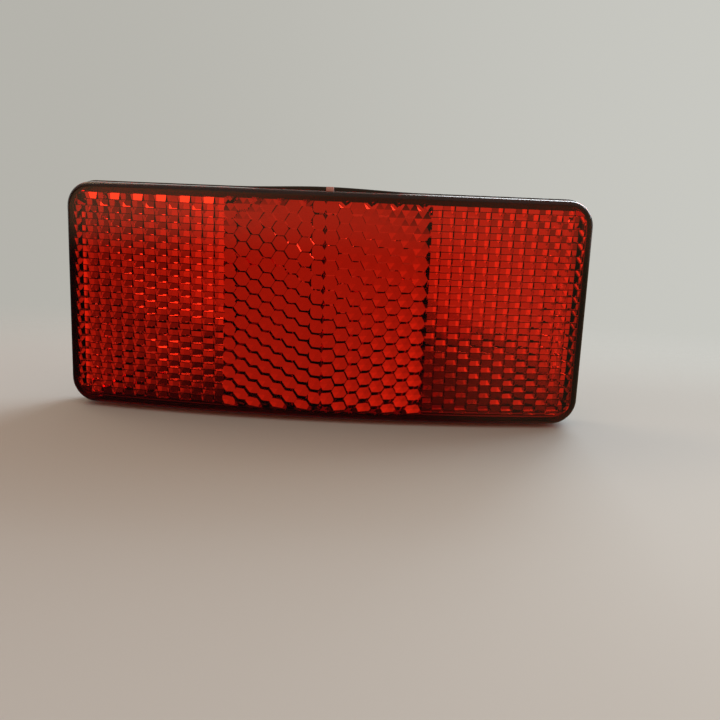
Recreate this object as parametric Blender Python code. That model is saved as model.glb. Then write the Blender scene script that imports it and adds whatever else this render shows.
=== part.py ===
"""Bicycle rear reflector: a bowed red prismatic lens on a black housing, with two M5 fixing bolts.

Metres, +Z up. The face looks along -Y, and the origin is the middle of the seat at the back.
"""

import math

import bmesh
import bpy

# Lens outline, bowed face and skirt
LENS_WIDTH = 0.0954
LENS_HEIGHT = 0.0411
LENS_CORNER = 0.0047
FACE_RADIUS = 0.245
FACE_DEPTH = 0.0126
EDGE_RADIUS = 0.0009
LENS_DRAFT = math.radians(4.0)
PLATE = 0.0019
SKIRT_DEPTH = 0.0035
SKIRT_WALL = 0.0011

# Gate mark that the mould leaves on the lens's top edge
GATE_X = 0.0006
GATE_WIDTH = 0.0013
GATE_HEIGHT = 0.0006
GATE_THICKNESS = 0.0009
GATE_DEPTH = 0.0012

# Prism fields on the back of the lens plate
FIELD_SHIFT = 0.0003
FIELD_GAP = 0.0001
PRISM_BASE = 0.0001
HEX_FIELD_WIDTH = 0.0181
HEX_BORDER = 0.0022
HEX_FLATS = 0.0026
BRICK_BORDER = 0.00175
BRICK_END_BORDER = 0.0015
BRICK_CORNER = 0.0023
BRICK_COLUMN = 0.00216
BRICK_ROW = 0.0024
RIDGE_TILT = math.radians(8.0)
WALL_DRAFT = 0.00006

# Housing
SEAM = 0.0003
HOUSING_OVERHANG = 0.00015
HOUSING_WALL = 0.0013
FLOOR = 0.0016
BACK_CHAMFER = 0.0004
CROWN_HEIGHT = 0.00045
CROWN_LENGTH = 0.034
PAD_LENGTH = 0.034
PAD_WIDTH = 0.018
PAD_HEIGHT = 0.0008
LAND_MARGIN = 0.0010

# M5 fixings
BOLT_SPACING = 0.050
BOLT_DIAMETER = 0.005
BOLT_LENGTH = 0.016
BOLT_POINT = 0.0006
HEX_ACROSS = 0.008
HEX_CHAMFER = 0.0004
HEAD_HEIGHT = 0.0035
NUT_HEIGHT = 0.0047
WASHER_DIAMETER = 0.010
WASHER_THICKNESS = 0.001
SPRING_DIAMETER = 0.0092
SPRING_THICKNESS = 0.0012
SPRING_SLOT = 0.0009
SPRING_SLANT = math.radians(25.0)
BOSS_WALL = 0.0014
BOSS_HEIGHT = 0.0025
ROOT_DEPTH = 0.0005
FIT_GAP = 0.0003

# Fineness of the curves
SIDE_STEPS = 24
CORNER_STEPS = 8
EDGE_STEPS = 4
ROUND_STEPS = 32
WELD = 0.000006

# Places that follow from the sizes above
FACE_Y = -FACE_DEPTH
BACK_Y = -PAD_HEIGHT
FLOOR_Y = BACK_Y - FLOOR
HEAD_SEAT_Y = FLOOR_Y - FIT_GAP
BOLT_HOLE = BOLT_DIAMETER + 2 * FIT_GAP
WASHER_Y = FIT_GAP
SPRING_Y = WASHER_Y + WASHER_THICKNESS + FIT_GAP
NUT_Y = SPRING_Y + SPRING_THICKNESS + FIT_GAP
LENS_SIZE = (LENS_WIDTH, LENS_HEIGHT, LENS_CORNER)
HOUSING_SIZE = (
    LENS_WIDTH + 2 * HOUSING_OVERHANG,
    LENS_HEIGHT + 2 * HOUSING_OVERHANG,
    LENS_CORNER + HOUSING_OVERHANG,
)


def clear_scene():
    for old in list(bpy.data.objects):
        bpy.data.objects.remove(old, do_unlink=True)


def material(name, colour, roughness, metallic=0.0):
    """A Principled material with the piece's own colour."""
    made = bpy.data.materials.new(name)
    made.use_nodes = True
    shader = made.node_tree.nodes["Principled BSDF"]
    shader.inputs["Base Color"].default_value = (*colour, 1.0)
    shader.inputs["Roughness"].default_value = roughness
    shader.inputs["Metallic"].default_value = metallic
    return made


def new_object(name, bm):
    """Turn a closed bmesh into a named object with its faces pointing out."""
    bmesh.ops.triangulate(bm, faces=bm.faces)
    bmesh.ops.recalc_face_normals(bm, faces=bm.faces)
    mesh = bpy.data.meshes.new(name)
    bm.to_mesh(mesh)
    bm.free()
    made = bpy.data.objects.new(name, mesh)
    bpy.context.collection.objects.link(made)
    return made


def boolean(target, tool, operation):
    """Join, cut or trim the target with the tool, then weld the points it left closer than WELD."""
    step = target.modifiers.new(operation.lower(), "BOOLEAN")
    step.operation = operation
    step.solver = "EXACT"
    step.object = tool
    graph = bpy.context.evaluated_depsgraph_get()
    result = bpy.data.meshes.new_from_object(target.evaluated_get(graph))
    target.modifiers.remove(step)
    target.data = result
    bpy.data.objects.remove(tool, do_unlink=True)
    bm = bmesh.new()
    bm.from_mesh(result)
    bmesh.ops.remove_doubles(bm, verts=bm.verts, dist=WELD)
    bm.to_mesh(result)
    bm.free()


def finish(made, name, surface, place=(0.0, 0.0, 0.0)):
    """Name, colour and place a finished piece, smooth between its sharp edges."""
    made.name = name
    made.data.name = name
    made.data.materials.clear()
    made.data.materials.append(surface)
    made.data.shade_smooth()
    made.data.set_sharp_from_angle(angle=math.radians(30))
    made.location = place


def add_ring(bm, points, height):
    """A closed ring of vertices, where height gives y for each x."""
    return [bm.verts.new((x, height(x), z)) for x, z in points]


def bridge(bm, first, second):
    """Faces between two rings of the same count."""
    count = len(first)
    for index in range(count):
        after = (index + 1) % count
        bm.faces.new((first[index], first[after], second[after], second[index]))


def ladder(bm, ring):
    """Close a ring with flat strips, each from its top point to the bottom point under it."""
    count = len(ring)
    for index in range(count // 2 - 1):
        bm.faces.new((ring[index], ring[index + 1], ring[count - 2 - index], ring[count - 1 - index]))


def stack(name, rings):
    """A closed solid through rings of points and heights, with both ends laddered shut."""
    bm = bmesh.new()
    made = [add_ring(bm, points, height) for points, height in rings]
    ladder(bm, made[0])
    for first, second in zip(made, made[1:]):
        bridge(bm, first, second)
    ladder(bm, made[-1])
    return new_object(name, bm)


def extrusion(name, points, front, back):
    """A block of constant outline in x and z between two values of y."""
    bm = bmesh.new()
    near = add_ring(bm, points, at_level(front))
    far = add_ring(bm, points, at_level(back))
    bm.faces.new(near)
    bm.faces.new(far)
    bridge(bm, near, far)
    return new_object(name, bm)


def tube(name, outer, inner, front, back):
    """A block between two outlines of the same count."""
    bm = bmesh.new()
    places = ((outer, front), (outer, back), (inner, back), (inner, front))
    rings = [add_ring(bm, points, at_level(y)) for points, y in places]
    for first, second in zip(rings, rings[1:] + rings[:1]):
        bridge(bm, first, second)
    return new_object(name, bm)


def turned(name, profile):
    """A solid turned about the Y axis from (radius, y) points that start and end on the axis."""
    bm = bmesh.new()
    ends = (bm.verts.new((0, profile[0][1], 0)), bm.verts.new((0, profile[-1][1], 0)))
    rings = [add_ring(bm, polygon(ROUND_STEPS, radius), at_level(y)) for radius, y in profile[1:-1]]
    for first, second in zip(rings, rings[1:]):
        bridge(bm, first, second)
    for ring, end in ((rings[0], ends[0]), (rings[-1], ends[1])):
        for index in range(ROUND_STEPS):
            bm.faces.new((ring[index], ring[(index + 1) % ROUND_STEPS], end))
    return new_object(name, bm)


def polygon(sides, radius):
    """A regular polygon in x and z with its corners at the radius."""
    points = []
    for index in range(sides):
        angle = 2 * math.pi * index / sides
        points.append((radius * math.cos(angle), radius * math.sin(angle)))
    return points


def hexagon(across):
    """A hexagon from its size across the flats, with a flat at the top."""
    return polygon(6, across / math.sqrt(3))


def obround(length, width):
    """A long outline with half-round ends."""
    radius = width / 2
    points = []
    for side, start in ((1, -math.pi / 2), (-1, math.pi / 2)):
        for step in range(2 * CORNER_STEPS + 1):
            angle = start + math.pi * step / (2 * CORNER_STEPS)
            x = side * (length / 2 - radius) + radius * math.cos(angle)
            points.append((x, radius * math.sin(angle)))
    return points


def face_y(x):
    """The bowed front of the lens: y at x."""
    return FACE_Y + FACE_RADIUS - math.sqrt(FACE_RADIUS**2 - x * x)


def at_depth(depth):
    """Heights that follow the bowed face at a depth behind it."""
    return lambda x: face_y(x) + depth


def at_level(level):
    """Heights on a flat plane."""
    return lambda x: level


def crown(x):
    """The low swelling in the middle of the housing's long sides."""
    reach = min(1.0, abs(x) / (CROWN_LENGTH / 2))
    return CROWN_HEIGHT * 0.5 * (1 + math.cos(math.pi * reach))


def outline(size, inset=0.0, crowned=False):
    """Rounded rectangle in x and z, from its right side over the top and back along the bottom."""
    width, height, corner = size
    half_x = width / 2 - inset
    half_z = height / 2 - inset
    radius = corner - inset
    top = []
    for step in range(CORNER_STEPS + 1):
        angle = math.pi / 2 * step / CORNER_STEPS
        top.append((half_x - radius + radius * math.cos(angle), half_z - radius + radius * math.sin(angle)))
    for step in range(1, SIDE_STEPS):
        x = (half_x - radius) * (1 - 2 * step / SIDE_STEPS)
        top.append((x, half_z + (crown(x) if crowned else 0.0)))
    left = [(-x, z) for x, z in reversed(top[: CORNER_STEPS + 1])]
    top.extend(left)
    return top + [(x, -z) for x, z in reversed(top)]


def lens_shell():
    """Front plate with a rounded edge, and the skirt that stands on the housing."""
    taper = (SKIRT_DEPTH - EDGE_RADIUS) * math.tan(LENS_DRAFT)
    rings = []
    for step in range(EDGE_STEPS + 1):
        angle = math.pi / 2 * step / EDGE_STEPS
        inset = taper + EDGE_RADIUS * (1 - math.sin(angle))
        rings.append((outline(LENS_SIZE, inset), at_depth(EDGE_RADIUS * (1 - math.cos(angle)))))
    rings.append((outline(LENS_SIZE), at_depth(SKIRT_DEPTH)))
    rings.append((outline(LENS_SIZE, SKIRT_WALL), at_depth(SKIRT_DEPTH)))
    rings.append((outline(LENS_SIZE, SKIRT_WALL), at_depth(PLATE)))
    return stack("lens", rings)


def gate_mark():
    """The small stub left where the runner was cut from the lens."""
    low = LENS_HEIGHT / 2 - SKIRT_WALL
    high = LENS_HEIGHT / 2 + GATE_HEIGHT
    left = GATE_X - GATE_WIDTH / 2
    right = GATE_X + GATE_WIDTH / 2
    points = [(right, low), (right, high), (left, high), (left, low)]
    front = face_y(GATE_X) + GATE_DEPTH
    return extrusion("gate", points, front, front + GATE_THICKNESS)


def prism_block(name, bm):
    """Give a prism sheet a front inside the lens plate, which makes it one closed block."""
    made = bmesh.ops.extrude_face_region(bm, geom=list(bm.faces), use_keep_orig=True)
    for vertex in made["geom"]:
        if isinstance(vertex, bmesh.types.BMVert):
            vertex.co.y = face_y(vertex.co.x) + PLATE / 2
    return new_object(name, bm)


def brick_prisms(name, inner_x, width, height, outward):
    """Columns of roof prisms, each column half a row from the next and tilted to the outer side."""
    bm = bmesh.new()
    columns = max(1, round(width / BRICK_COLUMN))
    column = width / columns
    half_row = BRICK_ROW / 2
    roof = half_row / math.cos(RIDGE_TILT)
    fall = math.tan(RIDGE_TILT)
    lines = math.ceil(height / BRICK_ROW) + 1
    grid = []
    for index in range(columns):
        for run in (0.0, column - WALL_DRAFT):
            x = inner_x + outward * (index * column + run)
            row = []
            for line in range(-lines, lines + 1):
                ridge = roof if (line + index) % 2 else 0.0
                depth = PLATE + PRISM_BASE + ridge + (column - run) * fall
                row.append(bm.verts.new((x, face_y(x) + depth, line * half_row)))
            grid.append(row)
    closing = []
    for vertex in grid[-1]:
        x = inner_x + outward * (width + column)
        closing.append(bm.verts.new((x, face_y(x) + vertex.co.y - face_y(vertex.co.x), vertex.co.z)))
    grid.append(closing)
    for left, right in zip(grid, grid[1:]):
        for index in range(len(left) - 1):
            bm.faces.new((left[index], right[index], right[index + 1], left[index + 1]))
    return prism_block(name, bm)


def hex_prisms(name, centre_x, height, hand):
    """Cube corners in a honeycomb, each with three square faces that fall away from its peak."""
    bm = bmesh.new()
    side = HEX_FLATS / math.sqrt(3)
    fall = HEX_FLATS / math.sqrt(6)
    columns = math.ceil(HEX_FIELD_WIDTH / (3 * side)) + 1
    rows = math.ceil(height / (2 * HEX_FLATS)) + 1
    made = {}

    def corner(x, z, drop):
        key = (round(2 * x / side), round(2 * z / HEX_FLATS))
        if key not in made:
            place = centre_x + hand * x
            depth = PLATE + PRISM_BASE + (2 - drop) * fall
            made[key] = bm.verts.new((place, face_y(place) + depth, z))
        return made[key]

    for column in range(-columns, columns + 1):
        for row in range(-rows, rows + 1):
            x = column * 1.5 * side
            z = (row + 0.5 * (column % 2)) * HEX_FLATS
            peak = corner(x, z, 0)
            rim = []
            for point in range(6):
                angle = math.radians(60 * point)
                rim.append(corner(x + side * math.cos(angle), z + side * math.sin(angle), 1 + point % 2))
            for point in (0, 2, 4):
                bm.faces.new((peak, rim[point], rim[point + 1], rim[(point + 2) % 6]))
    return prism_block(name, bm)


def field_trim(name, centre_x, width, height, round_side=0):
    """The block that trims a prism field, with round corners on one side if asked."""
    points = []
    for index, (side_x, side_z) in enumerate(((1, -1), (1, 1), (-1, 1), (-1, -1))):
        x = centre_x + side_x * width / 2
        z = side_z * height / 2
        if side_x != round_side:
            points.append((x, z))
            continue
        for step in range(CORNER_STEPS + 1):
            angle = math.pi / 2 * (index - 1 + step / CORNER_STEPS)
            points.append((
                x - side_x * BRICK_CORNER + BRICK_CORNER * math.cos(angle),
                z - side_z * BRICK_CORNER + BRICK_CORNER * math.sin(angle),
            ))
    return extrusion(name, points, FACE_Y, 0.0)


def make_lens():
    """The lens: shell, gate mark and four trimmed prism fields in one moulding."""
    lens = lens_shell()
    boolean(lens, gate_mark(), "UNION")
    hex_height = LENS_HEIGHT - 2 * HEX_BORDER
    brick_height = LENS_HEIGHT - 2 * BRICK_BORDER
    for side in (-1, 1):
        hex_x = FIELD_SHIFT + side * HEX_FIELD_WIDTH / 2
        field = hex_prisms("hexagons", hex_x, hex_height, side)
        boolean(field, field_trim("trim", hex_x, HEX_FIELD_WIDTH - FIELD_GAP, hex_height), "INTERSECT")
        boolean(lens, field, "UNION")
        inner_x = FIELD_SHIFT + side * HEX_FIELD_WIDTH
        outer_x = side * (LENS_WIDTH / 2 - BRICK_END_BORDER)
        width = abs(outer_x - inner_x)
        middle = (inner_x + outer_x + side * FIELD_GAP / 2) / 2
        field = brick_prisms("bricks", inner_x, width, brick_height, side)
        boolean(field, field_trim("trim", middle, width - FIELD_GAP / 2, brick_height, side), "INTERSECT")
        boolean(lens, field, "UNION")
    finish(lens, "lens", material("red_acrylic", (0.45, 0.012, 0.008), 0.08))


def make_housing():
    """The black pan: flat floor, walls that follow the bowed lens, head bosses, seat pad and lands."""
    rim = at_depth(SKIRT_DEPTH + SEAM)
    housing = stack("housing", [
        (outline(HOUSING_SIZE, HOUSING_WALL), at_level(FLOOR_Y)),
        (outline(HOUSING_SIZE, HOUSING_WALL), rim),
        (outline(HOUSING_SIZE, 0.0, True), rim),
        (outline(HOUSING_SIZE, 0.0, True), at_level(BACK_Y - BACK_CHAMFER)),
        (outline(HOUSING_SIZE, BACK_CHAMFER, True), at_level(BACK_Y)),
    ])
    pad = extrusion("pad", obround(PAD_LENGTH, PAD_WIDTH), BACK_Y - ROOT_DEPTH, 0.0)
    boolean(housing, pad, "UNION")
    recess = HEX_ACROSS + 2 * FIT_GAP
    land_radius = WASHER_DIAMETER / 2 + LAND_MARGIN
    for side in (-1, 1):
        x = side * BOLT_SPACING / 2
        land = extrusion("land", polygon(ROUND_STEPS, land_radius), BACK_Y - ROOT_DEPTH, 0.0)
        land.location.x = x
        boolean(housing, land, "UNION")
        outer = hexagon(recess + 2 * BOSS_WALL)
        boss = tube("boss", outer, hexagon(recess), FLOOR_Y - BOSS_HEIGHT, FLOOR_Y + ROOT_DEPTH)
        boss.location.x = x
        boolean(housing, boss, "UNION")
        hole = extrusion("hole", polygon(ROUND_STEPS, BOLT_HOLE / 2), FACE_Y, PAD_HEIGHT)
        hole.location.x = x
        boolean(housing, hole, "DIFFERENCE")
    finish(housing, "housing", material("black_plastic", (0.012, 0.011, 0.012), 0.35))


def chamfered_hex(name, height, both_ends):
    """A hexagon block whose corners are turned off, as on a bolt head or a nut."""
    corner = HEX_ACROSS / math.sqrt(3)
    flat = HEX_ACROSS / 2
    block = extrusion(name, hexagon(HEX_ACROSS), 0.0, height)
    front = [(0, 0), (flat, 0), (corner, HEX_CHAMFER)]
    back = [(corner, height - HEX_CHAMFER), (flat, height), (0, height)]
    if not both_ends:
        back = [(corner, height), (0, height)]
    boolean(block, turned("turning", front + back), "INTERSECT")
    return block


def make_bolt(name, x, steel):
    """An M5 bolt with a hexagon head and a pointed tip, its head in the housing's pocket."""
    head = chamfered_hex(name, HEAD_HEIGHT, False)
    radius = BOLT_DIAMETER / 2
    end = HEAD_HEIGHT + BOLT_LENGTH
    root = HEAD_HEIGHT / 2
    profile = [(0, root), (radius, root), (radius, end - BOLT_POINT), (radius - BOLT_POINT, end), (0, end)]
    boolean(head, turned("shank", profile), "UNION")
    finish(head, name, steel, (x, HEAD_SEAT_Y - HEAD_HEIGHT, 0.0))


def make_nut(name, x, steel):
    nut = chamfered_hex(name, NUT_HEIGHT, True)
    bore = extrusion("bore", polygon(ROUND_STEPS, BOLT_HOLE / 2), -NUT_HEIGHT, 2 * NUT_HEIGHT)
    boolean(nut, bore, "DIFFERENCE")
    finish(nut, name, steel, (x, NUT_Y, 0.0))


def ring_solid(name, diameter, thickness):
    """A flat ring with the bolt's clearance hole."""
    rim = polygon(ROUND_STEPS, diameter / 2)
    return tube(name, rim, polygon(ROUND_STEPS, BOLT_HOLE / 2), 0.0, thickness)


def make_washer(name, x, steel):
    washer = ring_solid(name, WASHER_DIAMETER, WASHER_THICKNESS)
    finish(washer, name, steel, (x, WASHER_Y, 0.0))


def make_spring_washer(name, x, steel):
    """A lock washer: a square-sectioned ring with a slanted slot at its top."""
    washer = ring_solid(name, SPRING_DIAMETER, SPRING_THICKNESS)
    half = SPRING_SLOT / 2
    slot = extrusion("slot", [(half, 0), (half, SPRING_DIAMETER), (-half, SPRING_DIAMETER), (-half, 0)],
                     -SPRING_THICKNESS, SPRING_THICKNESS)
    slot.rotation_euler.z = SPRING_SLANT
    slot.location.y = SPRING_THICKNESS / 2
    boolean(washer, slot, "DIFFERENCE")
    finish(washer, name, steel, (x, SPRING_Y, 0.0))


def main():
    clear_scene()
    make_lens()
    make_housing()
    steel = material("zinc_plated_steel", (0.62, 0.63, 0.64), 0.3, 1.0)
    for side, word in ((-1, "left"), (1, "right")):
        x = side * BOLT_SPACING / 2
        make_bolt("bolt_" + word, x, steel)
        make_washer("washer_" + word, x, steel)
        make_spring_washer("spring_washer_" + word, x, steel)
        make_nut("nut_" + word, x, steel)


main()
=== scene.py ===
import math

import bmesh
import bpy
from mathutils import Matrix, Vector


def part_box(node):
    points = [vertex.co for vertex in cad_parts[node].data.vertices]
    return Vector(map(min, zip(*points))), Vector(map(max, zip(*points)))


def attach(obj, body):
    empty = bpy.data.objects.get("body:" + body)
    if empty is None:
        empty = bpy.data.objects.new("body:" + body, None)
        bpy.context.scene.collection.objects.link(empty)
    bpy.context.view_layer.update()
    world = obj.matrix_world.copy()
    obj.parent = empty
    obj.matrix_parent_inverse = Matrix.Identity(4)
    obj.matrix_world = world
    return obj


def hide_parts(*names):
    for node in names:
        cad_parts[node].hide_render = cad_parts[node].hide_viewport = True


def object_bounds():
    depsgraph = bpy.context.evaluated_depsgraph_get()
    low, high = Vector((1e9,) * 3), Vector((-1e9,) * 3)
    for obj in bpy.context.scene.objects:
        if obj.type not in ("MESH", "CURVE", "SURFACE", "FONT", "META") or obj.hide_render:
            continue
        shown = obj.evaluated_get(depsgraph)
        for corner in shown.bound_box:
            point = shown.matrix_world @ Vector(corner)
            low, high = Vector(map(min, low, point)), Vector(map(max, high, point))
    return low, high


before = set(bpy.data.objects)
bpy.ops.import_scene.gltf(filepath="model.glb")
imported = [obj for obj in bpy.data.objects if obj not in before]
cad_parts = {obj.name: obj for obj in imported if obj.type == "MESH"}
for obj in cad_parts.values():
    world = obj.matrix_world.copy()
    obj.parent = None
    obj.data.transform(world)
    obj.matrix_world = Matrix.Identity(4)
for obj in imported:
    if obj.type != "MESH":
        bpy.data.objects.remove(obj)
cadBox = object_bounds()
print("frame loaded:", ", ".join(sorted(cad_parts)))

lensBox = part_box("lens")
faceFront = lensBox[0][1]
lensEnd = lensBox[1][0]
lensTop = -lensBox[0][2]


# small helpers shared by the pieces

def meshObject(name, bm):
    bmesh.ops.recalc_face_normals(bm, faces=bm.faces)
    mesh = bpy.data.meshes.new(name)
    bm.to_mesh(mesh)
    bm.free()
    made = bpy.data.objects.new(name, mesh)
    bpy.context.collection.objects.link(made)
    return made


def useBoolean(target, tool, operation):
    step = target.modifiers.new(operation.lower(), "BOOLEAN")
    step.operation = operation
    step.solver = "EXACT"
    step.object = tool
    applyModifiers(target)
    bpy.data.objects.remove(tool, do_unlink=True)


def applyModifiers(target):
    graph = bpy.context.evaluated_depsgraph_get()
    result = bpy.data.meshes.new_from_object(target.evaluated_get(graph), depsgraph=graph)
    target.modifiers.clear()
    target.data = result


def smoothBetweenEdges(target, degrees):
    target.data.shade_smooth()
    target.data.set_sharp_from_angle(angle=math.radians(degrees))


def giveMaterial(target, *materials):
    target.data.materials.clear()
    for material in materials:
        target.data.materials.append(material)


def ringAt(bm, points, height):
    return [bm.verts.new((x, height(x), z)) for x, z in points]


def bridgeRings(bm, first, second):
    for index in range(len(first)):
        after = (index + 1) % len(first)
        bm.faces.new((first[index], first[after], second[after], second[index]))


def ladderShut(bm, ring):
    # top and bottom points share their x, so each strip stays flat on the bow
    count = len(ring)
    for index in range(count // 2 - 1):
        bm.faces.new((ring[index], ring[index + 1], ring[count - 2 - index], ring[count - 1 - index]))


# the bowed face: y of the lens front at x

bow = {"radius": 0.245}


def faceAt(x):
    return faceFront + bow["radius"] - math.sqrt(bow["radius"] ** 2 - x * x)


def atDepth(depth):
    return lambda x: faceAt(x) + depth


def atLevel(level):
    return lambda x: level


def roundedOutline(halfX, halfZ, corner, inset=0.0, swell=None, sideSteps=96, cornerSteps=14):
    halfX -= inset
    halfZ -= inset
    corner -= inset
    top = []
    for step in range(cornerSteps + 1):
        angle = math.pi / 2 * step / cornerSteps
        top.append((halfX - corner + corner * math.cos(angle), halfZ - corner + corner * math.sin(angle)))
    for step in range(1, sideSteps):
        x = (halfX - corner) * (1 - 2 * step / sideSteps)
        top.append((x, halfZ + (swell(x) if swell else 0.0)))
    top.extend([(-x, z) for x, z in reversed(top[: cornerSteps + 1])])
    return top + [(x, -z) for x, z in reversed(top)]


# geometry node trees are wired through these

def newTree(name, inputs):
    tree = bpy.data.node_groups.new(name, "GeometryNodeTree")
    tree.is_modifier = True
    for label, kind, value in inputs:
        tree.interface.new_socket(label, in_out="INPUT", socket_type=kind).default_value = value
    tree.interface.new_socket("Geometry", in_out="OUTPUT", socket_type="NodeSocketGeometry")
    return tree


def addNode(tree, kind, values=None, **settings):
    node = tree.nodes.new(kind)
    for key, value in settings.items():
        setattr(node, key, value)
    for key, value in (values or {}).items():
        if isinstance(value, bpy.types.NodeSocket):
            tree.links.new(value, node.inputs[key])
        else:
            node.inputs[key].default_value = value
    return node


def reckon(tree, operation, first, second=0.0, third=0.0):
    node = addNode(tree, "ShaderNodeMath", {0: first, 1: second, 2: third}, operation=operation)
    return node.outputs[0]


def finishTree(tree, geometry, surface, weld=None):
    # every tree ends in real geometry, welded where its faces meet when a weld distance is given, with
    # its material set
    end = addNode(tree, "GeometryNodeRealizeInstances", {0: geometry})
    if weld:
        end = addNode(tree, "GeometryNodeMergeByDistance", {"Geometry": end.outputs[0], "Distance": weld})
    end = addNode(tree, "GeometryNodeSetMaterial", {"Geometry": end.outputs[0], "Material": surface})
    leaving = tree.nodes.new("NodeGroupOutput")
    tree.links.new(end.outputs[0], leaving.inputs[0])
    return tree


def setInput(modifier, label, value):
    for item in modifier.node_group.interface.items_tree:
        if item.item_type == "SOCKET" and item.in_out == "INPUT" and item.name == label:
            modifier[item.identifier] = value


def plainMesh(name, tree, values):
    holder = bpy.data.objects.new(name, bpy.data.meshes.new(name))
    bpy.context.collection.objects.link(holder)
    modifier = holder.modifiers.new(tree.name, "NODES")
    modifier.node_group = tree
    for label, value in values.items():
        setInput(modifier, label, value)
    applyModifiers(holder)
    return holder


# surfaces

def plainMaterial(name, colour, roughness, metallic=0.0):
    made = bpy.data.materials.new(name)
    made.use_nodes = True
    shader = made.node_tree.nodes["Principled BSDF"]
    shader.inputs["Base Color"].default_value = (*colour, 1.0)
    shader.inputs["Roughness"].default_value = roughness
    shader.inputs["Metallic"].default_value = metallic
    return made


def grained(made, grain):
    # a fine noise bump, as a moulded or plated surface has
    tree = made.node_tree
    place = tree.nodes.new("ShaderNodeTexCoord")
    noise = tree.nodes.new("ShaderNodeTexNoise")
    noise.inputs["Scale"].default_value = grain["scale"]
    noise.inputs["Detail"].default_value = 3.0
    bump = tree.nodes.new("ShaderNodeBump")
    bump.inputs["Strength"].default_value = grain["strength"]
    bump.inputs["Distance"].default_value = grain["depth"]
    tree.links.new(place.outputs["Object"], noise.inputs["Vector"])
    tree.links.new(noise.outputs["Fac"], bump.inputs["Height"])
    tree.links.new(bump.outputs["Normal"], tree.nodes["Principled BSDF"].inputs["Normal"])
    return made


# prism fields: the sheets are made by geometry nodes, flat, with their height in z

prisms = {
    "shift": 0.0003,  # the fields sit a little to the right
    "plate": 0.0019,  # clear acrylic in front of the prisms
    "base": 0.0001,
    "gap": 0.0001,  # half of it comes off each brick field's width
    "overlap": 0.0003,  # the honeycomb reaches this far into the brick fields
    "hexWidth": 0.0181,  # to each side of the middle
    "hexBorder": 0.0017,  # above the honeycomb
    "hexFoot": 0.00135,  # below it
    "hexRise": 0.0002,
    "hexFlats": 0.00268,
    "hexSqueeze": 0.98,
    "seam": -0.000085,  # where the two halves meet
    "seamCell": 0.001155,
    "brickBorder": 0.00175,
    "brickEndBorder": 0.0014,
    "brickCorner": 0.0023,
    "brickColumn": 0.00216,
    "brickRow": 0.00242,
    "leftRise": 0.00045,
    "rightRise": -0.0003,
    "leftTilt": math.radians(9.0),
    "leftDraft": math.radians(42.0),
    "rightTilt": math.radians(11.0),
    "rightDraft": math.radians(34.0),
    "flat": 0.00012,  # on each ridge and in each valley
    "cornerSteps": 8,
    "cellWeld": 0.00002,
    "mirrorWeld": 0.000001,
    "cutReach": 0.0000001,
}


def hexagonTree(surface):
    # cube corners in a honeycomb: one cell of three square faces, set on every lattice point
    tree = newTree("hexagonPrisms", (
        ("Flats", "NodeSocketFloat", prisms["hexFlats"]),
        ("Columns", "NodeSocketInt", 10),
        ("Rows", "NodeSocketInt", 16),
        ("Surface", "NodeSocketMaterial", surface),
    ))
    given = tree.nodes.new("NodeGroupInput").outputs
    side = reckon(tree, "DIVIDE", given["Flats"], math.sqrt(3))
    fall = reckon(tree, "DIVIDE", given["Flats"], math.sqrt(6))
    cell = addNode(
        tree, "GeometryNodeMeshCircle", {"Vertices": 6, "Radius": side}, fill_type="TRIANGLE_FAN")
    position = addNode(tree, "GeometryNodeInputPosition").outputs[0]
    place = addNode(tree, "ShaderNodeSeparateXYZ", {0: position})
    away = addNode(tree, "ShaderNodeVectorMath", {0: position}, operation="LENGTH")
    reach = reckon(tree, "DIVIDE", away.outputs["Value"], side)
    angle = reckon(tree, "ARCTAN2", place.outputs["Y"], place.outputs["X"])
    swing = reckon(tree, "COSINE", reckon(tree, "MULTIPLY", angle, 3.0))
    drop = reckon(tree, "MULTIPLY", reach, reckon(tree, "MULTIPLY_ADD", swing, 0.5, 1.5))
    height = reckon(tree, "MULTIPLY", reckon(tree, "SUBTRACT", 2.0, drop), fall)
    lifted = addNode(tree, "ShaderNodeCombineXYZ", {"Z": height})
    raised = addNode(tree, "GeometryNodeSetPosition", {
        "Geometry": cell.outputs[0], "Offset": lifted.outputs[0]})
    pitch = reckon(tree, "MULTIPLY", side, 1.5)
    sizeX = reckon(tree, "MULTIPLY", reckon(tree, "SUBTRACT", given["Columns"], 1.0), pitch)
    sizeY = reckon(tree, "MULTIPLY", reckon(tree, "SUBTRACT", given["Rows"], 1.0), given["Flats"])
    grid = addNode(tree, "GeometryNodeMeshGrid", {
        "Size X": sizeX, "Size Y": sizeY, "Vertices X": given["Columns"], "Vertices Y": given["Rows"]})
    index = addNode(tree, "GeometryNodeInputIndex").outputs[0]
    column = reckon(tree, "FLOOR", reckon(tree, "DIVIDE", reckon(tree, "ADD", index, 0.5), given["Rows"]))
    odd = reckon(tree, "MODULO", column, 2.0)
    slide = reckon(tree, "MULTIPLY", reckon(tree, "MULTIPLY", odd, 0.5), given["Flats"])
    moved = addNode(tree, "ShaderNodeCombineXYZ", {"Y": slide})
    lattice = addNode(tree, "GeometryNodeSetPosition", {
        "Geometry": grid.outputs[0], "Offset": moved.outputs[0]})
    cells = addNode(tree, "GeometryNodeInstanceOnPoints", {
        "Points": lattice.outputs[0], "Instance": raised.outputs[0]})
    return finishTree(tree, cells.outputs[0], given["Surface"], prisms["cellWeld"])


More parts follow.
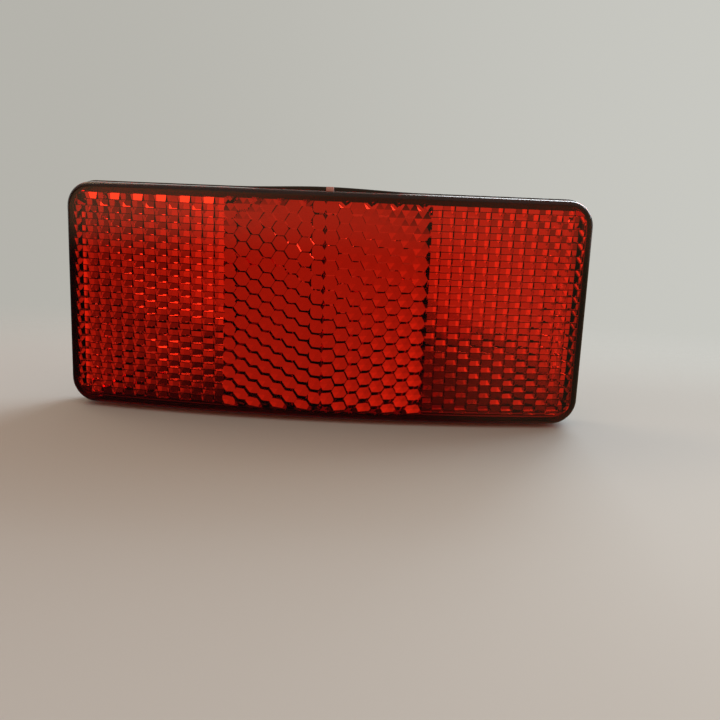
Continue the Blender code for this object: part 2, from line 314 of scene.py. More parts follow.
def brickTree(surface):
    # columns of roof prisms, each half a row out of step with the next, that deepen up to a drafted wall
    tree = newTree("brickPrisms", (
        ("Column", "NodeSocketFloat", prisms["brickColumn"]),
        ("Row", "NodeSocketFloat", prisms["brickRow"]),
        ("Ridge Tilt", "NodeSocketFloat", prisms["leftTilt"]),
        ("Wall Draft", "NodeSocketFloat", prisms["leftDraft"]),
        ("Flat", "NodeSocketFloat", prisms["flat"]),
        ("Columns", "NodeSocketInt", 14),
        ("Ridges", "NodeSocketInt", 37),
        ("Surface", "NodeSocketMaterial", surface),
    ))
    given = tree.nodes.new("NodeGroupInput").outputs
    stations = reckon(tree, "MULTIPLY", given["Columns"], 2.0)
    lines = reckon(tree, "MULTIPLY", given["Ridges"], 2.0)
    grid = addNode(tree, "GeometryNodeMeshGrid", {
        "Size X": 1.0, "Size Y": 1.0, "Vertices X": stations, "Vertices Y": lines})
    index = addNode(tree, "GeometryNodeInputIndex").outputs[0]
    station = reckon(tree, "FLOOR", reckon(tree, "DIVIDE", reckon(tree, "ADD", index, 0.5), lines))
    line = reckon(tree, "SUBTRACT", index, reckon(tree, "MULTIPLY", station, lines))
    column = reckon(tree, "FLOOR", reckon(tree, "MULTIPLY", reckon(tree, "ADD", station, 0.1), 0.5))
    ending = reckon(tree, "SUBTRACT", station, reckon(tree, "MULTIPLY", column, 2.0))
    slope = reckon(tree, "TANGENT", given["Ridge Tilt"])
    share = reckon(tree, "MULTIPLY_ADD", slope, reckon(tree, "TANGENT", given["Wall Draft"]), 1.0)
    run = reckon(tree, "MULTIPLY", ending, reckon(tree, "DIVIDE", given["Column"], share))
    x = reckon(tree, "MULTIPLY_ADD", column, given["Column"], run)
    crest = reckon(tree, "FLOOR", reckon(tree, "MULTIPLY", reckon(tree, "ADD", line, 0.1), 0.5))
    flank = reckon(tree, "SUBTRACT", line, reckon(tree, "MULTIPLY_ADD", crest, 2.0, 0.5))
    middle = reckon(tree, "MULTIPLY", reckon(tree, "SUBTRACT", given["Ridges"], 1.0), 0.5)
    halfRow = reckon(tree, "MULTIPLY", given["Row"], 0.5)
    level = reckon(tree, "MULTIPLY", reckon(tree, "SUBTRACT", crest, middle), halfRow)
    y = reckon(tree, "MULTIPLY_ADD", flank, given["Flat"], level)
    raised = reckon(tree, "MODULO", reckon(tree, "ADD", crest, column), 2.0)
    height = reckon(tree, "SUBTRACT", halfRow, given["Flat"])
    roof = reckon(tree, "DIVIDE", height, reckon(tree, "COSINE", given["Ridge Tilt"]))
    z = reckon(tree, "MULTIPLY_ADD", raised, roof, reckon(tree, "MULTIPLY", run, slope))
    place = addNode(tree, "ShaderNodeCombineXYZ", {"X": x, "Y": y, "Z": z})
    shaped = addNode(tree, "GeometryNodeSetPosition", {
        "Geometry": grid.outputs[0], "Position": place.outputs[0]})
    return finishTree(tree, shaped.outputs[0], given["Surface"])


def cutOff(bm, point, away):
    # take off what lies on the far side of a plane
    bmesh.ops.bisect_plane(
        bm, geom=bm.verts[:] + bm.edges[:] + bm.faces[:], plane_co=point, plane_no=away,
        dist=prisms["cutReach"], clear_outer=True)


def trimAndClose(sheet, outline, hand, centreX):
    # cut the flat sheet to its convex outline, lay it on the bow and give it a front inside the plate
    bm = bmesh.new()
    bm.from_mesh(sheet.data)
    for index, (x, y) in enumerate(outline):
        nextX, nextY = outline[(index + 1) % len(outline)]
        away = Vector((nextY - y, x - nextX, 0.0))
        if away.length > prisms["cutReach"]:
            cutOff(bm, (x, y, 0.0), away.normalized())
    bmesh.ops.triangulate(bm, faces=bm.faces)
    for vertex in bm.verts:
        x, z, height = vertex.co
        place = centreX + hand * x
        vertex.co = (place, faceAt(place) + prisms["plate"] + prisms["base"] + height, z)
    made = bmesh.ops.extrude_face_region(bm, geom=bm.faces[:], use_keep_orig=True)
    for part in made["geom"]:
        if isinstance(part, bmesh.types.BMVert):
            part.co.y = faceAt(part.co.x) + prisms["plate"] / 2
    bmesh.ops.recalc_face_normals(bm, faces=bm.faces)
    bm.to_mesh(sheet.data)
    bm.free()
    return sheet


def brickOutline(width, height):
    # square inner corners beside the honeycomb, round outer ones
    points = []
    steps = prisms["cornerSteps"]
    corner = prisms["brickCorner"]
    for index, (sideX, sideZ) in enumerate(((1, -1), (1, 1), (-1, 1), (-1, -1))):
        x = sideX * width / 2
        z = sideZ * height / 2
        if sideX < 0:
            points.append((x, z))
            continue
        for step in range(steps + 1):
            angle = math.pi / 2 * (index - 1 + step / steps)
            points.append((x - corner + corner * math.cos(angle),
                           z - sideZ * corner + corner * math.sin(angle)))
    return points


def hexField(tree, surface):
    # the cells of the right half and their mirror image, which meet in the seam with no wall
    reach = prisms["hexWidth"] + prisms["overlap"]
    left = prisms["shift"] - reach - prisms["seam"]
    right = prisms["shift"] + reach - prisms["seam"]
    top = lensTop - prisms["hexBorder"]
    pitch = prisms["hexSqueeze"] * prisms["hexFlats"] * math.sqrt(3) / 2
    columns = math.ceil(right / pitch) + 3
    rows = 2 * math.ceil(top / prisms["hexFlats"]) + 3
    sheet = plainMesh("hexField", tree, {
        "Flats": prisms["hexFlats"], "Columns": columns, "Rows": rows, "Surface": surface})
    bm = bmesh.new()
    bm.from_mesh(sheet.data)
    startX = ((columns - 1) / 2 - 1) * pitch
    for vertex in bm.verts:
        vertex.co.x = prisms["hexSqueeze"] * vertex.co.x + prisms["seamCell"] + startX
        vertex.co.y += prisms["hexRise"]
    cutOff(bm, (0, 0, 0), (-1, 0, 0))
    bmesh.ops.mirror(
        bm, geom=bm.verts[:] + bm.edges[:] + bm.faces[:], axis="X", merge_dist=prisms["mirrorWeld"])
    bm.to_mesh(sheet.data)
    bm.free()
    low = prisms["hexFoot"] - lensTop
    outline = [(right, low), (right, top), (left, top), (left, low)]
    return trimAndClose(sheet, outline, 1, prisms["seam"])


def brickField(side, tree, surface):
    word = "left" if side < 0 else "right"
    innerX = prisms["shift"] + side * prisms["hexWidth"]
    width = lensEnd - prisms["brickEndBorder"] - side * innerX
    height = 2 * (lensTop - prisms["brickBorder"])
    columns = round(width / prisms["brickColumn"])
    sheet = plainMesh("brickField", tree, {
        "Column": width / columns, "Row": prisms["brickRow"], "Ridge Tilt": prisms[word + "Tilt"],
        "Wall Draft": prisms[word + "Draft"], "Flat": prisms["flat"], "Columns": columns + 1,
        "Ridges": 2 * math.ceil(height / prisms["brickRow"]) + 3, "Surface": surface})
    trimmed = width - prisms["gap"] / 2
    for vertex in sheet.data.vertices:
        vertex.co.x -= width - trimmed / 2
        vertex.co.y += prisms[word + "Rise"]
    return trimAndClose(sheet, brickOutline(trimmed, height), side, innerX + side * (width - trimmed / 2))


# lens

lens = {
    "corner": 0.0047,
    "edgeRadius": 0.0009,
    "draft": math.radians(4.0),
    "skirtDepth": 0.0035,
    "skirtWall": 0.0011,
    "edgeSteps": 12,
    "rim": 0.0003,
    "barSteps": 90,
    "barLap": 0.00015,  # how deep the strip above the prisms runs into its neighbours
    "gateDepth": 0.0012,
    "gateX": 0.0006,
    "gateWidth": 0.0013,
    "gateHeight": 0.0006,
    "gateThickness": 0.0009,
    "gateRound": 0.00012,
    "gateRoundSteps": 3,
    "gateColour": (0.62, 0.33, 0.31),
    "gateRoughness": 0.7,
    "colour": (0.86, 0.025, 0.009),
    "ior": 1.49,
    "smoothAngle": 20,
}


def lensShell():
    size = (lensEnd, lensTop, lens["corner"])
    radius = lens["edgeRadius"]
    taper = (lens["skirtDepth"] - radius) * math.tan(lens["draft"])
    bm = bmesh.new()
    inner = ringAt(bm, roundedOutline(*size, taper + radius + lens["rim"]), atDepth(0.0))
    ladderShut(bm, inner)
    rings = [inner]
    for step in range(lens["edgeSteps"] + 1):
        angle = math.pi / 2 * step / lens["edgeSteps"]
        inset = taper + radius * (1 - math.sin(angle))
        rings.append(ringAt(bm, roundedOutline(*size, inset), atDepth(radius * (1 - math.cos(angle)))))
    rings.append(ringAt(bm, roundedOutline(*size), atDepth(lens["skirtDepth"])))
    rings.append(ringAt(bm, roundedOutline(*size, lens["skirtWall"]), atDepth(lens["skirtDepth"])))
    rings.append(ringAt(bm, roundedOutline(*size, lens["skirtWall"]), atDepth(prisms["plate"])))
    for first, second in zip(rings, rings[1:]):
        bridgeRings(bm, first, second)
    ladderShut(bm, rings[-1])
    return meshObject("reflectorLens", bm)


def topBar():
    # the solid strip between the top row of prisms and the skirt, which lets light in from above
    reach = lensEnd - prisms["brickEndBorder"] - prisms["brickCorner"]
    stations = [reach * (1 - 2 * step / lens["barSteps"]) for step in range(lens["barSteps"] + 1)]
    high = lensTop - lens["skirtWall"] + lens["barLap"]
    low = lensTop - prisms["brickBorder"] - lens["barLap"]
    outline = [(x, high) for x in stations] + [(x, low) for x in reversed(stations)]
    bm = bmesh.new()
    front = ringAt(bm, outline, atDepth(prisms["plate"] / 3))
    back = ringAt(bm, outline, atDepth(lens["skirtDepth"] - lens["barLap"]))
    bridgeRings(bm, front, back)
    ladderShut(bm, front)
    ladderShut(bm, back)
    return meshObject("topBar", bm)


def gateMark():
    # the stub that is left where the runner was cut from the moulding
    bm = bmesh.new()
    low = lensTop - lens["skirtWall"]
    high = lensTop + lens["gateHeight"]
    front = faceAt(lens["gateX"]) + lens["gateDepth"]
    for vertex in bmesh.ops.create_cube(bm, size=1.0)["verts"]:
        vertex.co.x = lens["gateX"] + vertex.co.x * lens["gateWidth"]
        vertex.co.y = front + (vertex.co.y + 0.5) * lens["gateThickness"]
        vertex.co.z = high if vertex.co.z > 0 else low
    bmesh.ops.bevel(
        bm, geom=bm.edges[:], offset=lens["gateRound"], segments=lens["gateRoundSteps"],
        affect="EDGES", profile=0.5)
    return meshObject("gateMark", bm)


def clearRed():
    made = plainMaterial("clearRedAcrylic", lens["colour"], 0.0)
    shader = made.node_tree.nodes["Principled BSDF"]
    shader.inputs["Transmission Weight"].default_value = 1.0
    shader.inputs["IOR"].default_value = lens["ior"]
    return made


def makeLens():
    acrylic = clearRed()
    frosted = plainMaterial("frostedRedAcrylic", lens["gateColour"], lens["gateRoughness"])
    made = lensShell()
    giveMaterial(made, acrylic, frosted)
    nub = gateMark()
    giveMaterial(nub, acrylic, frosted)
    for face in nub.data.polygons:
        face.material_index = 1
    useBoolean(made, nub, "UNION")
    hexagons = hexagonTree(acrylic)
    bricks = brickTree(acrylic)
    bar = topBar()
    giveMaterial(bar, acrylic)
    useBoolean(made, bar, "UNION")
    useBoolean(made, hexField(hexagons, acrylic), "UNION")
    for side in (-1, 1):
        useBoolean(made, brickField(side, bricks, acrylic), "UNION")
    smoothBetweenEdges(made, lens["smoothAngle"])
    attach(made, "root")
    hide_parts("lens")
    print("lens:", len(made.data.polygons), "faces")


# housing

housing = {
    "overhang": 0.00015,
    "wall": 0.0013,
    "floor": 0.0016,
    "backRound": 0.0004,
    "rimRound": 0.0002,
    "crownHeight": 0.00045,
    "crownLength": 0.034,
    "padLength": 0.034,
    "padWidth": 0.018,
    "padHeight": 0.0008,
    "padRound": 0.00025,
    "landRadius": 0.006,
    "seam": 0.0003,  # air between the lens's skirt and the housing's rim
    "bossWall": 0.0014,
    "bossHeight": 0.0025,
    "root": 0.0005,  # how deep pads and bosses run into the floor
    "fit": 0.0003,
    "roundSteps": 5,
    "circleSteps": 72,
    "colour": (0.012, 0.011, 0.012),
    "roughness": 0.42,
    "grain": {"scale": 2600.0, "strength": 0.35, "depth": 0.00004},
    "smoothAngle": 28,
}


def crownAt(x):
    reach = min(1.0, abs(x) / (housing["crownLength"] / 2))
    return housing["crownHeight"] * 0.5 * (1 + math.cos(math.pi * reach))


def quarter(steps):
    # sine and cosine of the angles that round an edge off
    angles = [math.pi / 2 * step / steps for step in range(steps + 1)]
    return [(math.sin(angle), math.cos(angle)) for angle in angles]


def polygonAt(sides, radius, x):
    points = []
    for index in range(sides):
        angle = 2 * math.pi * index / sides
        points.append((x + radius * math.cos(angle), radius * math.sin(angle)))
    return points


def obround(length, width, steps=24):
    radius = width / 2
    points = []
    for side, start in ((1, -math.pi / 2), (-1, math.pi / 2)):
        for step in range(steps + 1):
            angle = start + math.pi * step / steps
            points.append(
                (side * (length / 2 - radius) + radius * math.cos(angle), radius * math.sin(angle)))
    return points


def blockThrough(name, rings):
    # a closed block through rings of points at levels of y
    bm = bmesh.new()
    made = [ringAt(bm, points, atLevel(level)) for points, level in rings]
    bm.faces.new(made[0])
    for first, second in zip(made, made[1:]):
        bridgeRings(bm, first, second)
    bm.faces.new(made[-1])
    return meshObject(name, bm)


def loopThrough(name, rings):
    # a ring-shaped block: the last outline joins the first
    bm = bmesh.new()
    made = [ringAt(bm, points, atLevel(level)) for points, level in rings]
    for first, second in zip(made, made[1:] + made[:1]):
        bridgeRings(bm, first, second)
    return meshObject(name, bm)


def seatBlock(name, outlineAt):
    # a raised flat with its edge rounded off, from inside the back up to y = 0
    radius = housing["padRound"]
    rings = [(outlineAt(0.0), -housing["padHeight"] - housing["root"])]
    for sine, cosine in quarter(housing["roundSteps"]):
        rings.append((outlineAt(radius * (1 - cosine)), -radius * (1 - sine)))
    return blockThrough(name, rings)


def housingPan():
    back = -housing["padHeight"]
    over = housing["overhang"]
    size = (lensEnd + over, lensTop + over, lens["corner"] + over)
    rimDepth = lens["skirtDepth"] + housing["seam"]
    bm = bmesh.new()

    def ring(inset, height, swell=crownAt):
        return ringAt(bm, roundedOutline(*size, inset, swell), height)

    rings = [
        ring(housing["wall"], atLevel(back - housing["floor"]), None),
        ring(housing["wall"], atDepth(rimDepth), None),
    ]
    rim = housing["rimRound"]
    for sine, cosine in quarter(housing["roundSteps"]):
        rings.append(ring(rim * (1 - sine), atDepth(rimDepth + rim * (1 - cosine))))
    edge = housing["backRound"]
    for sine, cosine in quarter(housing["roundSteps"]):
        rings.append(ring(edge * (1 - cosine), atLevel(back - edge * (1 - sine))))
    ladderShut(bm, rings[0])
    for first, second in zip(rings, rings[1:]):
        bridgeRings(bm, first, second)
    ladderShut(bm, rings[-1])
    return meshObject("reflectorHousing", bm)


def landOutline(x):
    return lambda inset: polygonAt(housing["circleSteps"], housing["landRadius"] - inset, x)


def makeHousing():
    made = housingPan()
    useBoolean(made, seatBlock("pad", lambda inset: obround(
        housing["padLength"] - 2 * inset, housing["padWidth"] - 2 * inset)), "UNION")
    floorLevel = -housing["padHeight"] - housing["floor"]
    recess = (fixings["hexAcross"] + 2 * housing["fit"]) / math.sqrt(3)
    outer = (fixings["hexAcross"] + 2 * housing["fit"] + 2 * housing["bossWall"]) / math.sqrt(3)
    for side in (-1, 1):
        x = side * fixings["spacing"] / 2
        useBoolean(made, seatBlock("land", landOutline(x)), "UNION")
        low = floorLevel - housing["bossHeight"]
        high = floorLevel + housing["root"]
        useBoolean(made, loopThrough("boss", (
            (polygonAt(6, outer, x), low), (polygonAt(6, outer, x), high),
            (polygonAt(6, recess, x), high), (polygonAt(6, recess, x), low))), "UNION")
        hole = polygonAt(housing["circleSteps"], fixings["boltRadius"] + housing["fit"], x)
        drill = blockThrough("hole", ((hole, faceFront), (hole, housing["padHeight"])))
        useBoolean(made, drill, "DIFFERENCE")
    giveMaterial(made, grained(
        plainMaterial("blackPlastic", housing["colour"], housing["roughness"]), housing["grain"]))
    smoothBetweenEdges(made, housing["smoothAngle"])
    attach(made, "root")
    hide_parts("housing")
    print("housing:", len(made.data.polygons), "faces")


# fixings: bolts with their thread, washers, spring washers and nuts

fixings = {
    "spacing": 0.050,
    "boltRadius": 0.0025,
    "boltLength": 0.016,
    "pitch": 0.0008,
    "threadDepth": 0.00045,
    "threadSteps": 48,
    "threadRows": 12,
    "threadCrest": 0.06,
    "threadRoot": 0.44,
    "threadWeld": 0.000001,
    "hexAcross": 0.008,
    "headHeight": 0.0035,
    "nutHeight": 0.0047,
    "chamfer": 0.0004,
    "washerRadius": 0.005,
    "washerThickness": 0.001,
    "springRadius": 0.0046,
    "springThickness": 0.0012,
    "springSlot": 0.0009,
    "springSlant": math.radians(25.0),
    "gap": 0.0003,  # between neighbours, as in the solids
    "boreCountersink": 0.0005,
    "edge": 0.00012,
    "edgeSteps": 3,
    "circleSteps": 64,
    "colour": (0.62, 0.63, 0.64),
    "roughness": 0.28,
    "grain": {"scale": 1500.0, "strength": 0.2, "depth": 0.00002},
    "smoothAngle": 30,
}


def threadTree(surface):
    # a grid rolled into a rod whose radius follows the helix, closed to its axis at both ends
    tree = newTree("screwThread", (
        ("Radius", "NodeSocketFloat", fixings["boltRadius"]),
        ("Depth", "NodeSocketFloat", fixings["threadDepth"]),
        ("Pitch", "NodeSocketFloat", fixings["pitch"]),
        ("Length", "NodeSocketFloat", fixings["boltLength"]),
        ("Around", "NodeSocketInt", 49),
        ("Along", "NodeSocketInt", 240),
        ("Surface", "NodeSocketMaterial", surface),
    ))
    given = tree.nodes.new("NodeGroupInput").outputs
    grid = addNode(tree, "GeometryNodeMeshGrid", {
        "Size X": 1.0, "Size Y": 1.0, "Vertices X": given["Around"], "Vertices Y": given["Along"]})
    position = addNode(tree, "GeometryNodeInputPosition").outputs[0]
    place = addNode(tree, "ShaderNodeSeparateXYZ", {0: position})
    around = reckon(tree, "ADD", place.outputs["X"], 0.5)
    along = reckon(tree, "MULTIPLY", reckon(tree, "ADD", place.outputs["Y"], 0.5), given["Length"])
    turns = reckon(tree, "SUBTRACT", reckon(tree, "DIVIDE", along, given["Pitch"]), around)
    wave = reckon(tree, "PINGPONG", turns, 0.5)
    flank = addNode(tree, "ShaderNodeMapRange", {
        "Value": wave, "From Min": fixings["threadCrest"], "From Max": fixings["threadRoot"]}, clamp=True)
    cut = reckon(tree, "MULTIPLY", flank.outputs[0], given["Depth"])
    radius = reckon(tree, "SUBTRACT", given["Radius"], cut)
    left = reckon(tree, "SUBTRACT", given["Length"], along)
    tip = reckon(tree, "ADD", reckon(tree, "SUBTRACT", given["Radius"], given["Pitch"]), left)
    radius = reckon(tree, "MINIMUM", radius, tip)
    # the first and the last row of the grid close on the axis
    inside = reckon(tree, "LESS_THAN", reckon(tree, "ABSOLUTE", place.outputs["Y"]), 0.4999)
    radius = reckon(tree, "MULTIPLY", radius, inside)
    row = reckon(tree, "DIVIDE", given["Length"], reckon(tree, "SUBTRACT", given["Along"], 1.0))
    lastRow = reckon(tree, "SUBTRACT", given["Length"], row)
    depth = reckon(tree, "MINIMUM", reckon(tree, "MAXIMUM", along, row), lastRow)
    angle = reckon(tree, "MULTIPLY", around, 2 * math.pi)
    x = reckon(tree, "MULTIPLY", radius, reckon(tree, "COSINE", angle))
    z = reckon(tree, "MULTIPLY", radius, reckon(tree, "SINE", angle))
    point = addNode(tree, "ShaderNodeCombineXYZ", {"X": x, "Y": depth, "Z": z})
    rolled = addNode(tree, "GeometryNodeSetPosition", {
        "Geometry": grid.outputs[0], "Position": point.outputs[0]})
    return finishTree(tree, rolled.outputs[0], given["Surface"], fixings["threadWeld"])


def turnedBlock(name, profile, x):
    # a block turned about the bolt's axis, from (radius, y) points between two flat ends
    return blockThrough(name, [
        (polygonAt(fixings["circleSteps"], radius, x), level) for radius, level in profile])


def hexBlock(name, x, front, height, bothEnds):
    corner = fixings["hexAcross"] / math.sqrt(3)
    flat = fixings["hexAcross"] / 2
    chamfer = fixings["chamfer"]
    back = front + height
    block = blockThrough(name, ((polygonAt(6, corner, x), front), (polygonAt(6, corner, x), back)))
    profile = [(flat, front), (corner, front + chamfer)]
    profile += [(corner, back - chamfer), (flat, back)] if bothEnds else [(corner, back)]
    useBoolean(block, turnedBlock("turning", profile, x), "INTERSECT")
    return block


def roundedRing(name, x, outer, inner, front, thickness):
    edge = fixings["edge"]
    back = front + thickness
    rings = []
    for sine, cosine in quarter(fixings["edgeSteps"]):
        rings.append((outer - edge * (1 - sine), front + edge * (1 - cosine)))
    for sine, cosine in quarter(fixings["edgeSteps"]):
        rings.append((outer - edge * (1 - cosine), back - edge * (1 - sine)))
    rings += [(inner, back), (inner, front)]
    return loopThrough(name, [
        (polygonAt(fixings["circleSteps"], radius, x), level) for radius, level in rings])


def finishFixing(made, surface, node):
    giveMaterial(made, surface)
    smoothBetweenEdges(made, fixings["smoothAngle"])
    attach(made, "root")
    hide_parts(node)


def makeBolt(word, x, thread, surface):
    seat = -housing["padHeight"] - housing["floor"] - fixings["gap"]
    made = hexBlock(
        "bolt" + word.title(), x, seat - fixings["headHeight"], fixings["headHeight"], bothEnds=False)
    length = fixings["boltLength"] + fixings["headHeight"] / 2
    shank = plainMesh("shank", thread, {
        "Radius": fixings["boltRadius"], "Depth": fixings["threadDepth"], "Pitch": fixings["pitch"],
        "Length": length, "Around": fixings["threadSteps"] + 1,
        "Along": round(length / fixings["pitch"] * fixings["threadRows"]), "Surface": surface})
    for vertex in shank.data.vertices:
        vertex.co.x += x
        vertex.co.y += seat - fixings["headHeight"] / 2
    useBoolean(made, shank, "UNION")
    finishFixing(made, surface, "bolt_" + word)
    return made


def makeNut(word, x, front, surface):
    made = hexBlock("nut" + word.title(), x, front, fixings["nutHeight"], bothEnds=True)
    bore = fixings["boltRadius"] + fixings["gap"] / 2
    sink = fixings["boreCountersink"]
    back = front + fixings["nutHeight"]
    profile = [
        (bore + 2 * sink, front - sink), (bore, front + sink),
        (bore, back - sink), (bore + 2 * sink, back + sink)]
    useBoolean(made, turnedBlock("bore", profile, x), "DIFFERENCE")
    finishFixing(made, surface, "nut_" + word)


def makeSpringWasher(word, x, front, surface):
    made = roundedRing("springWasher" + word.title(), x, fixings["springRadius"],
                       fixings["boltRadius"] + fixings["gap"], front, fixings["springThickness"])
    bm = bmesh.new()
    for vertex in bmesh.ops.create_cube(bm, size=1.0)["verts"]:
        vertex.co.x *= fixings["springSlot"]
        vertex.co.y *= 4 * fixings["springThickness"]
        vertex.co.z = (vertex.co.z + 0.5) * 2 * fixings["springRadius"]
    bmesh.ops.rotate(bm, verts=bm.verts, matrix=Matrix.Rotation(fixings["springSlant"], 3, "Z"))
    bmesh.ops.translate(bm, verts=bm.verts, vec=(x, front + fixings["springThickness"] / 2, 0.0))
    useBoolean(made, meshObject("slot", bm), "DIFFERENCE")
    finishFixing(made, surface, "spring_washer_" + word)


def makeFixings():
    surface = grained(
        plainMaterial("zincSteel", fixings["colour"], fixings["roughness"], 1.0), fixings["grain"])
    thread = threadTree(surface)
    gap = fixings["gap"]
    for side, word in ((-1, "left"), (1, "right")):
        x = side * fixings["spacing"] / 2
        bolt = makeBolt(word, x, thread, surface)
        washer = roundedRing("washer" + word.title(), x, fixings["washerRadius"],
                             fixings["boltRadius"] + gap, gap, fixings["washerThickness"])
        finishFixing(washer, surface, "washer_" + word)
        springFront = 2 * gap + fixings["washerThickness"]
        makeSpringWasher(word, x, springFront, surface)
        makeNut(word, x, springFront + fixings["springThickness"] + gap, surface)
        print("bolt", word + ":", len(bolt.data.polygons), "faces")


makeLens()
makeHousing()
makeFixings()


# camera: a fit of the bowed outline and the prism rows to the photograph's frame

view = {
    "lens": 40.0,
    "sensor": 36.0,
    "clipStart": 0.005,
    "tilt": math.radians(11.62),
    "yaw": math.radians(-1.85),
    "roll": math.radians(-2.35),
    "offset": (-0.00672, 0.00921, -0.14219),
}


def makeCamera():
    turn = (Matrix.Rotation(view["roll"], 3, "Z") @ Matrix.Rotation(view["tilt"], 3, "X")
            @ Matrix.Rotation(view["yaw"], 3, "Y"))
    toWorld = Matrix(((1, 0, 0), (0, 0, -1), (0, 1, 0)))
    back = turn.transposed()
    place = Vector((0.0, faceFront, 0.0)) - toWorld @ (back @ Vector(view["offset"]))
    data = bpy.data.cameras.new("camera")
    data.lens = view["lens"]
    data.sensor_width = view["sensor"]
    data.clip_start = view["clipStart"]
    camera = bpy.data.objects.new("camera", data)
    bpy.context.collection.objects.link(camera)
    camera.matrix_world = Matrix.Translation(place) @ (toWorld @ back).to_4x4()
    bpy.context.scene.camera = camera
    print("camera:", [round(value, 4) for value in place])


makeCamera()

# studio: a pale floor with painted light on its right and painted shade on its left and at its back, soft
# lamps behind the object, and a world that is dark below the horizon

studio = {
    "floorRadius": 1.5,
    "floorSteps": 64,
    "floorRoughness": 0.9,
    # painted light and shade on the floor: darker on the left, lighter on the right as if lit from there,
    # darker again towards the back
    "floorPaintedShadeLeft": (0.58, 0.60, 0.60),
    "floorPaintedLightRight": (0.74, 0.78, 0.77),
    "floorPaintedShadeBack": (0.54, 0.55, 0.53),
    "floorLightAcross": (-0.12, 0.12),
    "floorShadeDepth": (-0.07, 0.03),
    "fadeCentre": -0.3,
    "fade": (0.315, 0.44),
    # the backdrop is painted darker on the left and lighter on the right, as if lit from the right;
    # behind the object the same colours also light the scene
    "backdropPaintedShadeLeft": (0.46, 0.45, 0.41),
    "backdropPaintedLightRight": (0.585, 0.585, 0.545),
    "backdropAcross": (-0.5, 0.5),
    "zenithColour": (0.52, 0.39, 0.32),
    "zenith": (0.28, 0.55),
    "belowLeft": (0.035, 0.032, 0.030),
    "belowRight": (0.20, 0.17, 0.10),
    "below": (0.15, 0.45),
    "horizon": (-0.085, -0.02),
    "front": (
        (-1.0, 0.17), (-0.93, 0.24), (-0.85, 0.66), (-0.6, 1.1),
        (-0.2, 0.42), (0.0, 0.37), (0.25, 0.38), (0.7, 0.52),
    ),
    "frontTint": (1.0, 0.58, 0.32),
    "frontSlant": -0.8,
    "behind": (-0.1, 0.3),
    # the key on the right, one further behind, and a warm one on the left for the top row of prisms
    "lights": (
        {"power": 0.72, "colour": (0.76, 0.93, 1.0), "size": (0.32, 0.25), "place": (0.26, 0.26, 0.205)},
        {"power": 1.0, "colour": (0.86, 0.94, 1.0), "size": (0.24, 0.26), "place": (0.16, 0.42, 0.24)},
        {"power": 0.17, "colour": (1.0, 0.72, 0.46), "size": (0.20, 0.13), "place": (-0.25, 0.10, 0.31)},
    ),
}


def colourBetween(tree, value, reach, first, second):
    # a smooth step from one colour, or one colour socket, to another
    ramp = tree.nodes.new("ShaderNodeMapRange")
    ramp.interpolation_type = "SMOOTHSTEP"
    ramp.inputs["From Min"].default_value, ramp.inputs["From Max"].default_value = reach
    mix = tree.nodes.new("ShaderNodeMix")
    mix.data_type = "RGBA"
    tree.links.new(value, ramp.inputs["Value"])
    tree.links.new(ramp.outputs["Result"], mix.inputs["Factor"])
    for socket, colour in (("A", first), ("B", second)):
        if isinstance(colour, tuple):
            mix.inputs[socket].default_value = (*colour, 1.0)
        else:
            tree.links.new(colour, mix.inputs[socket])
    return mix.outputs["Result"]


def makeFloor():
    bm = bmesh.new()
    bmesh.ops.create_circle(
        bm, cap_ends=True, segments=studio["floorSteps"], radius=studio["floorRadius"])
    bmesh.ops.translate(bm, verts=bm.verts, vec=(0.0, 0.0, cadBox[0][2]))
    floor = meshObject("floor", bm)
    paper = plainMaterial("floorPaper", studio["floorPaintedShadeLeft"], studio["floorRoughness"])
    tree = paper.node_tree
    shader = tree.nodes["Principled BSDF"]
    place = tree.nodes.new("ShaderNodeTexCoord")
    parts = tree.nodes.new("ShaderNodeSeparateXYZ")
    tree.links.new(place.outputs["Object"], parts.inputs[0])
    # painted light and shade: the base colour runs from shaded on the left to lit on the right, and
    # darkens towards the back
    right = colourBetween(
        tree, parts.outputs["Y"], studio["floorShadeDepth"], studio["floorPaintedLightRight"], studio["floorPaintedShadeBack"])
    colour = colourBetween(tree, parts.outputs["X"], studio["floorLightAcross"], studio["floorPaintedShadeLeft"], right)
    tree.links.new(colour, shader.inputs["Base Color"])
    away = tree.nodes.new("ShaderNodeVectorMath")
    away.operation = "DISTANCE"
    away.inputs[1].default_value = (0.0, studio["fadeCentre"], cadBox[0][2])
    fade = tree.nodes.new("ShaderNodeMapRange")
    fade.interpolation_type = "SMOOTHSTEP"
    fade.inputs["From Min"].default_value, fade.inputs["From Max"].default_value = studio["fade"]
    fade.inputs["To Min"].default_value = 1.0
    fade.inputs["To Max"].default_value = 0.0
    tree.links.new(place.outputs["Object"], away.inputs[0])
    tree.links.new(away.outputs["Value"], fade.inputs["Value"])
    tree.links.new(fade.outputs["Result"], shader.inputs["Alpha"])
    giveMaterial(floor, paper)
    floor.visible_glossy = False
    floor.visible_transmission = False


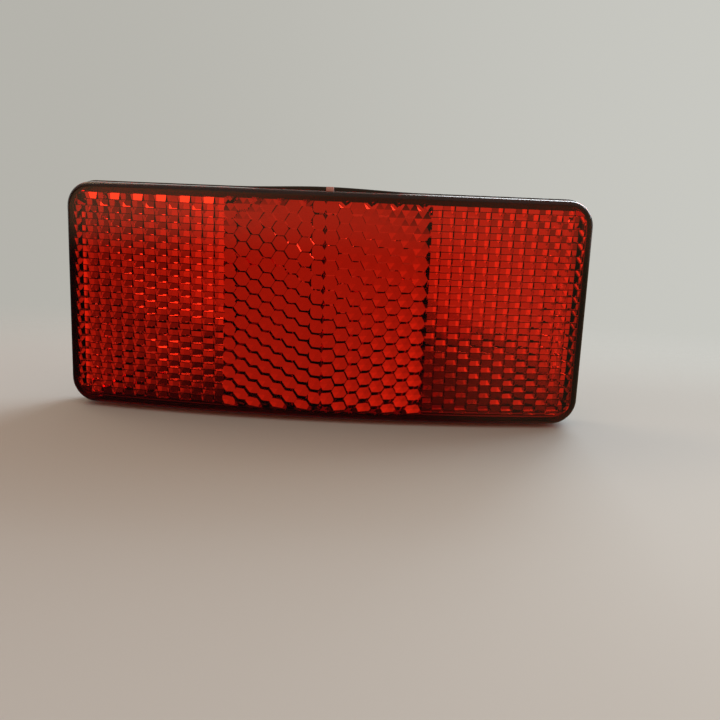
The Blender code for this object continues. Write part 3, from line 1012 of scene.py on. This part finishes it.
def makeWorld():
    # dark below the horizon, a band in front that changes from left to right, the backdrop behind with
    # painted shade on its left and painted light on its right
    world = bpy.data.worlds.new("world")
    bpy.context.scene.world = world
    world.use_nodes = True
    tree = world.node_tree
    place = tree.nodes.new("ShaderNodeTexCoord")
    parts = tree.nodes.new("ShaderNodeSeparateXYZ")
    tree.links.new(place.outputs["Generated"], parts.inputs[0])
    across, back, up = parts.outputs
    ramp = tree.nodes.new("ShaderNodeValToRGB")
    ramp.color_ramp.interpolation = "B_SPLINE"
    spread = tree.nodes.new("ShaderNodeMapRange")
    spread.inputs["From Min"].default_value = -1.0
    slanted = tree.nodes.new("ShaderNodeMath")
    slanted.operation = "MULTIPLY_ADD"
    slanted.inputs[1].default_value = studio["frontSlant"]
    tree.links.new(up, slanted.inputs[0])
    tree.links.new(across, slanted.inputs[2])
    tree.links.new(slanted.outputs[0], spread.inputs["Value"])
    tree.links.new(spread.outputs["Result"], ramp.inputs["Fac"])
    stops = ramp.color_ramp.elements
    while len(stops) < len(studio["front"]):
        stops.new(0.5)
    for stop, (x, level) in zip(stops, studio["front"]):
        stop.position = (x + 1) / 2
        stop.color = (*[level * tint for tint in studio["frontTint"]], 1.0)
    backdrop = colourBetween(
        tree, across, studio["backdropAcross"], studio["backdropPaintedShadeLeft"], studio["backdropPaintedLightRight"])
    around = colourBetween(tree, back, studio["behind"], ramp.outputs["Color"], backdrop)
    upper = colourBetween(tree, up, studio["zenith"], around, studio["zenithColour"])
    lower = colourBetween(tree, across, studio["below"], studio["belowLeft"], studio["belowRight"])
    light = colourBetween(tree, up, studio["horizon"], lower, upper)
    path = tree.nodes.new("ShaderNodeLightPath")
    # camera rays see the backdrop with its painted light and shade from left to right
    seen = colourBetween(tree, path.outputs["Is Camera Ray"], (0.0, 1.0), light, backdrop)
    tree.links.new(seen, tree.nodes["Background"].inputs["Color"])


def makeLights():
    for settings in studio["lights"]:
        data = bpy.data.lights.new("softLight", "AREA")
        data.shape = "RECTANGLE"
        data.energy = settings["power"]
        data.color = settings["colour"]
        data.size, data.size_y = settings["size"]
        lamp = bpy.data.objects.new("softLight", data)
        bpy.context.collection.objects.link(lamp)
        lamp.visible_camera = False
        lamp.location = settings["place"]
        lamp.rotation_euler = (-lamp.location).to_track_quat("-Z", "Y").to_euler()
    print("studio:", len(studio["lights"]), "lamps")


makeWorld()
makeFloor()
makeLights()
bpy.context.scene.view_settings.view_transform = "Standard"
